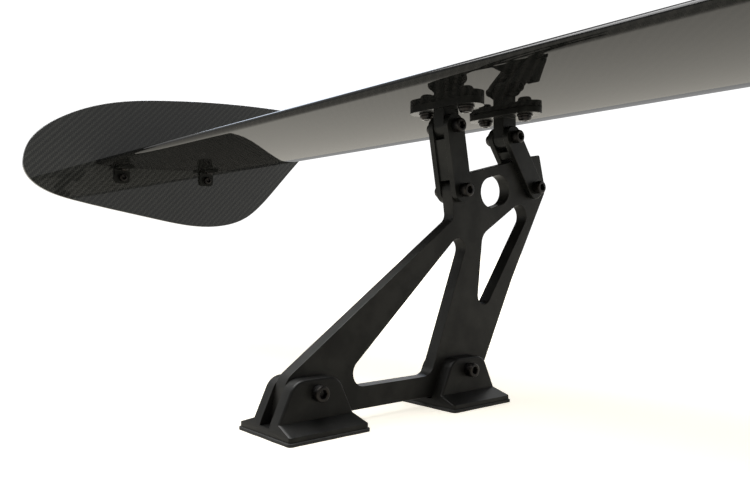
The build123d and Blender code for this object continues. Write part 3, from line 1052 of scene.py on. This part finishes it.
@dataclass(frozen=True)
class WingShell:
    """The carbon aerofoil, as a shell over its whole span."""

    chord: float = 271.0 * MM
    nose_half: float = 3.2 * MM
    nose_length: float = 5.5 * MM
    belly: float = 8.2 * MM
    camber: float = 0.8 * MM
    belly_place: float = 0.65
    incidence: float = math.radians(4.0)
    nose_from_pivot: tuple[float, float] = (-58.5 * MM, 21.6 * MM)
    trailing: float = 1.6 * MM
    wall: float = 2.0 * MM
    cavity_end: float = 0.92
    room_nose: float = 1.0 * MM
    stations: int = 72

    def nose(self) -> Vector:
        """Place of the leading edge in the YZ plane, from the front links' upper pivot."""
        joint = next(j for j in frame["joints"] if j["name"] == "wing_on_front_links")
        return Vector((joint["pos_m"][1], joint["pos_m"][2])) + Vector(self.nose_from_pivot)

    def bulge(self, share: float) -> tuple[float, float]:
        """Share of the belly at a place along the chord.

        Args:
            share: Place along the chord, 0 at the nose.

        Returns:
            The share, and its slope per chord.
        """
        peak = self.belly_place
        if share < peak:
            return (2 * peak * share - share**2) / peak**2, 2 * (peak - share) / peak**2
        rear = 1 - 2 * peak + 2 * peak * share - share**2
        return rear / (1 - peak) ** 2, 2 * (peak - share) / (1 - peak) ** 2

    def half_thickness(self, share: float) -> float:
        """Half the section's thickness.

        Args:
            share: Place along the chord.

        Returns:
            Half the thickness in metres.
        """
        ahead_of_end = max(1 - share * self.chord / self.nose_length, 0.0)
        nose_part = self.nose_half * math.sqrt(1 - ahead_of_end**2) * (1 - share**2)
        return nose_part + self.belly * self.bulge(share)[0] + self.trailing / 2 * share

    def point(self, share: float, side: int, inset: float = 0.0) -> Vector:
        """Place on the section.

        Args:
            share: Place along the chord.
            side: 1 on the upper face, and -1 on the lower.
            inset: Distance inwards from the outer face.

        Returns:
            The place in the YZ plane.
        """
        bulge, slope = self.bulge(share)
        tilt = math.atan(-self.camber * slope / self.chord)
        reach = self.half_thickness(share) - inset
        local = Vector((share * self.chord - side * reach * math.sin(tilt), 0.0))
        local.y = -self.camber * bulge + side * reach * math.cos(tilt)
        turn = Matrix.Rotation(self.incidence, 2)
        return self.nose() + turn @ local

    def section(self, first: float, last: float, inset: float) -> list[Vector]:
        """Points around the section, from the lower rear over the nose to the upper rear.

        Args:
            first: First place along the chord.
            last: Last place along the chord.
            inset: Distance inwards from the outer face.

        Returns:
            The points in order.
        """
        start, end = math.acos(1 - first), math.acos(1 - last)
        steps = range(self.stations + 1)
        shares = [1 - math.cos(start + (end - start) * i / self.stations) for i in steps]
        below = [self.point(share, -1, inset) for share in reversed(shares)]
        above = [self.point(share, 1, inset) for share in shares]
        return below + above[1:] if first == 0.0 else below + above

    def loop(
        self, shape: bmesh.types.BMesh, points: Iterable[Vector], x: float
    ) -> list[bmesh.types.BMEdge]:
        """Add a closed loop of edges across the span.

        Args:
            shape: Mesh that gets the loop.
            points: Places in the YZ plane.
            x: Place along the span.

        Returns:
            The edges of the loop.
        """
        ring = [shape.verts.new((x, p.x, p.y)) for p in points]
        return [shape.edges.new((a, b)) for a, b in zip(ring, ring[1:] + ring[:1])]

    def build(self) -> None:
        """Build the shell and lay its cloth."""
        low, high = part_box("wing_skin")
        shape = bmesh.new()
        ends = []
        tight = self.wall + self.room_nose
        room_start = next(i / 1000 for i in range(1, 1000) if self.half_thickness(i / 1000) > tight)
        for points in (
            self.section(0.0, 1.0, 0.0),
            self.section(room_start, self.cavity_end, self.wall),
        ):
            near = self.loop(shape, points, low.x)
            swept = bmesh.ops.extrude_edge_only(shape, edges=near)["geom"]
            verts = [g for g in swept if isinstance(g, bmesh.types.BMVert)]
            found = set(verts)
            bmesh.ops.translate(shape, vec=(high.x - low.x, 0.0, 0.0), verts=verts)
            ring = [g for g in swept if isinstance(g, bmesh.types.BMEdge) and set(g.verts) <= found]
            ends.append((near, ring))
        (outer_left, outer_right), (inner_left, inner_right) = ends
        bmesh.ops.bridge_loops(shape, edges=outer_left + inner_left)
        bmesh.ops.bridge_loops(shape, edges=outer_right + inner_right)
        bmesh.ops.recalc_face_normals(shape, faces=shape.faces)
        self.lay_cloth(shape)
        finish_piece("wing_shell", shape, ["wing_skin"], [WING_CARBON], weigh=False)

    def lay_cloth(self, shape: bmesh.types.BMesh) -> None:
        """Map the cloth around the nose, by distance along the surface.

        Args:
            shape: The shell.
        """
        weave = shape.loops.layers.uv.new("weave")
        points = self.section(0.0, 1.0, 0.0)
        lengths = [0.0]
        for a, b in zip(points, points[1:]):
            lengths.append(lengths[-1] + (b - a).length)
        nose_at = lengths[self.stations]
        table = {(round(p.x, 6), round(p.y, 6)): s - nose_at for p, s in zip(points, lengths)}
        for face in shape.faces:
            for corner in face.loops:
                co = corner.vert.co
                run = table.get((round(co.y, 6), round(co.z, 6)))
                corner[weave].uv = (co.x, co.y if run is None else run)


@dataclass(frozen=True)
class EndPlate:
    """Flat carbon plate with a fully rounded rim."""

    side: str
    rim: float = 2.3 * MM
    segments: int = 8
    around_hole: float = 8.0 * MM

    def build(self) -> None:
        """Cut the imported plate's outline, give it thickness and round its rim."""
        node = f"{self.side}_end_plate"
        low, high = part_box(node)
        shape = merged_copy(node)
        self.flatten(shape, (low.x + high.x) / 2, low.x)
        swept = bmesh.ops.extrude_face_region(shape, geom=shape.faces[:])["geom"]
        verts = [g for g in swept if isinstance(g, bmesh.types.BMVert)]
        bmesh.ops.translate(shape, vec=(high.x - low.x, 0.0, 0.0), verts=verts)
        bmesh.ops.recalc_face_normals(shape, faces=shape.faces)
        holes = self.holes()
        rim = [e for e in shape.edges if self.on_rim(e, holes)]
        round_edges(shape, rim, self.rim, self.segments)
        weave = shape.loops.layers.uv.new("weave")
        for face in shape.faces:
            for corner in face.loops:
                corner[weave].uv = (corner.vert.co.y, corner.vert.co.z)
        finish_piece(f"{node}_panel", shape, [node], [PLATE_CARBON])

    def flatten(self, shape: bmesh.types.BMesh, middle: float, x: float) -> None:
        """Keep only the plate's outline and holes at its mid plane, as a flat face.

        Args:
            shape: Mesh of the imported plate, which becomes the face.
            middle: Place of the mid plane along the span.
            x: Where the face goes along the span.
        """
        cut = bmesh.ops.bisect_plane(
            shape,
            geom=shape.verts[:] + shape.edges[:] + shape.faces[:],
            plane_co=(middle, 0.0, 0.0),
            plane_no=(1.0, 0.0, 0.0),
            clear_inner=True,
            clear_outer=True,
        )["geom_cut"]
        kept = {g for g in cut if isinstance(g, bmesh.types.BMEdge)}
        bmesh.ops.delete(
            shape, geom=[e for e in shape.edges if e not in kept], context="EDGES_FACES"
        )
        join_flat(shape, 0.2)
        bmesh.ops.translate(shape, vec=(x - middle, 0.0, 0.0), verts=shape.verts)
        bmesh.ops.triangle_fill(shape, use_beauty=True, edges=shape.edges)
        join_flat(shape, 0.2)

    def on_rim(self, edge: bmesh.types.BMEdge, holes: Sequence[Vector]) -> bool:
        """Tell whether an edge is where a side of the plate meets its outer wall.

        Args:
            edge: Edge to test.
            holes: Centres of the insert holes in the YZ plane.

        Returns:
            True on the outer rim of either side.
        """
        if len(edge.link_faces) != 2 or edge.calc_face_angle(0.0) < math.radians(45.0):
            return False
        a, b = edge.verts
        if abs(a.co.x - b.co.x) > 0.01 * MM:
            return False
        places = [Vector((v.co.y, v.co.z)) for v in (a, b)]
        return all((p - hole).length > self.around_hole for p in places for hole in holes)

    def holes(self) -> list[Vector]:
        """Centres of the plate's insert holes in the YZ plane."""
        centres = []
        for low, high in solids_of("end_plate_inserts"):
            centres.append(Vector(((low.y + high.y) / 2, (low.z + high.z) / 2)))
        return centres


@dataclass(frozen=True)
class Wing:
    """The wing with its end plates, tabs and what is inside it."""

    def build(self) -> None:
        """Build the wing's pieces and finish the ones inside."""
        WingShell().build()
        for side in SIDES:
            EndPlate(side).build()
            for end in ENDS:
                MilledPiece(f"{side}_{end}_end_tab", ANODISED_FITTING, 0.3 * MM, 2).build()
            self.dress(f"{side}_end_rib", MILLED_NYLON)
            for end in ENDS:
                self.dress(f"{side}_{end}_hardpoint", MILLED_ALUMINIUM)
        self.dress("main_spar", RAW_CARBON)

    def dress(self, node: str, finish: Finish) -> None:
        """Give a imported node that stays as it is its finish.

        Args:
            node: Name of the node.
            finish: Its finish.
        """
        mesh = frame["nodes"][node].data
        mesh.materials.clear()
        mesh.materials.append(finish.material())
        log.info("%s: %s", node, finish.name)


@dataclass(frozen=True)
class Hardware:
    """Every screw, nut, washer and insert."""

    def build(self) -> None:
        """Build the fasteners of each node."""
        inboard, outboard, down = Facing.INBOARD, Facing.OUTBOARD, Facing.DOWN
        screw, nut = CapScrew(), LockNut()
        for place in ("foot", "front_lower", "front_upper", "rear_lower", "rear_upper"):
            FastenerSet(f"{place}_bolts", screw, inboard, BLACK_OXIDE).build()
            FastenerSet(f"{place}_nuts", nut, outboard, BLACK_OXIDE).build()
        plate_screw = CapScrew(thread_length=5.0 * MM)
        FastenerSet("end_plate_screws", plate_screw, inboard, BLACK_OXIDE).build()
        FastenerSet("end_plate_inserts", Insert(), inboard, BLACK_ZINC).build()
        FastenerSet("bracket_screws", ButtonScrew(), down, BLACK_OXIDE).build()
        FastenerSet("bracket_washers", Washer(), down, BLACK_OXIDE).build()
        rib_screw = ButtonScrew(
            head_radius=4.75 * MM, head_height=2.7 * MM, shank_radius=2.5 * MM, pitch=0.8 * MM
        )
        FastenerSet("end_rib_screws", rib_screw, down, BLACK_OXIDE).build()


# ------------------------------------------------------------------ studio


@dataclass(frozen=True)
class Softbox:
    """A rectangular lamp that looks at a point."""

    name: str
    place: tuple[float, float, float]
    target: tuple[float, float, float]
    size: tuple[float, float]
    power: float
    colour: str = "#ffffff"

    def build(self) -> None:
        """Hang the lamp."""
        lamp = bpy.data.lights.new(self.name, "AREA")
        lamp.shape = "RECTANGLE"
        lamp.size, lamp.size_y = self.size
        lamp.energy = self.power
        lamp.color = linear(self.colour)[:3]
        holder = bpy.data.objects.new(self.name, lamp)
        holder.visible_diffuse = False
        bpy.context.scene.collection.objects.link(holder)
        aim = Vector(self.target) - Vector(self.place)
        turn = aim.to_track_quat("-Z", "Y").to_matrix().to_4x4()
        holder.matrix_world = Matrix.Translation(self.place) @ turn


@dataclass(frozen=True)
class Studio:
    """Pale floor, bright surroundings, soft lamps and the camera."""

    floor_half: float = 14.0
    floor_colour: str = "#fbf6ea"
    sky_colour: str = "#ffffff"
    sky_ahead: float = 1.15
    floor_glow: float = 0.68  # a table of lit white acrylic
    sky_behind: float = 0.4
    sun_strength: float = 1.1
    camera_place: tuple[float, float, float] = (0.1192, -0.322, 0.109)
    camera_heading: float = math.radians(49.76)
    lens: float = 34.8

    def build(self) -> None:
        """Set up the studio."""
        self.lay_floor()
        self.light()
        self.hang_camera()
        bpy.context.scene.view_settings.view_transform = "Standard"

    def lay_floor(self) -> None:
        """Lay the floor under the gaskets."""
        shape = bmesh.new()
        bmesh.ops.create_grid(shape, x_segments=1, y_segments=1, size=self.floor_half)
        ground = min(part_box(node)[0].z for node in frame["nodes"])
        bmesh.ops.translate(shape, vec=(0.0, 0.0, ground), verts=shape.verts)
        mesh = bpy.data.meshes.new("floor")
        shape.to_mesh(mesh)
        shape.free()
        finish = MattFinish(
            "painted_floor",
            colour=self.floor_colour,
            patch_colour=self.floor_colour,
            edge_highlight_colour=self.floor_colour,
            roughness=0.85,
            specular=0.2,
            grain=2.0 * MM,
            glow=self.floor_glow,
        )
        mesh.materials.append(finish.material())
        floor = bpy.data.objects.new("floor", mesh)
        bpy.context.scene.collection.objects.link(floor)

    def light(self) -> None:
        """Light the surroundings and hang the lamps."""
        world = bpy.data.worlds.new("studio")
        world.use_nodes = True
        world.node_tree.nodes.clear()
        tree = world.node_tree
        ahead = (-math.sin(self.camera_heading), math.cos(self.camera_heading), 0.0)
        direction = add_node(tree, "TexCoord").outputs["Generated"]
        facing = add_node(
            tree, "VectorMath", {"operation": "DOT_PRODUCT", 1: ahead}, {0: direction}
        ).outputs["Value"]
        strength = add_node(
            tree,
            "MapRange",
            {
                "interpolation_type": "SMOOTHSTEP",
                "From Min": -1.0,
                "From Max": 0.6,
                "To Min": self.sky_behind,
                "To Max": self.sky_ahead,
            },
            {"Value": facing},
        ).outputs[0]
        sky = add_node(
            tree, "Background", {"Color": linear(self.sky_colour)}, {"Strength": strength}
        )
        add_node(tree, "OutputWorld", links={"Surface": sky.outputs[0]})
        bpy.context.scene.world = world
        sun = bpy.data.lights.new("ceiling", "SUN")
        sun.energy = self.sun_strength
        sun.angle = math.radians(70.0)
        holder = bpy.data.objects.new("ceiling", sun)
        bpy.context.scene.collection.objects.link(holder)
        Softbox("ceiling_box", (-0.6, -0.25, 1.4), (-0.8, 0.0, 0.25), (1.4, 1.3), 90.0).build()
        Softbox(
            "window_box", (-1.9, 0.9, 1.1), (-0.3, 0.0, 0.22), (0.9, 0.5), 10.0, "#dcebff"
        ).build()

    def hang_camera(self) -> None:
        """Hang the camera, level, at the stand's inner front side."""
        camera = bpy.data.cameras.new("camera")
        camera.sensor_width = 36.0
        camera.lens = self.lens
        camera.clip_start = 0.01
        holder = bpy.data.objects.new("camera", camera)
        bpy.context.scene.collection.objects.link(holder)
        holder.location = self.camera_place
        holder.rotation_euler = (math.pi / 2, 0.0, self.camera_heading)
        bpy.context.scene.camera = holder


def main() -> None:
    """Build the wing, its stands, its hardware and the studio."""
    logging.basicConfig(level=logging.INFO, format="%(name)s %(message)s")
    parts: list[Any] = [Wing(), *(Stand(side) for side in SIDES), Hardware(), Studio()]
    for part in parts:
        part.build()
        log.info("%s done", type(part).__name__)


if __name__ == "__main__":
    main()
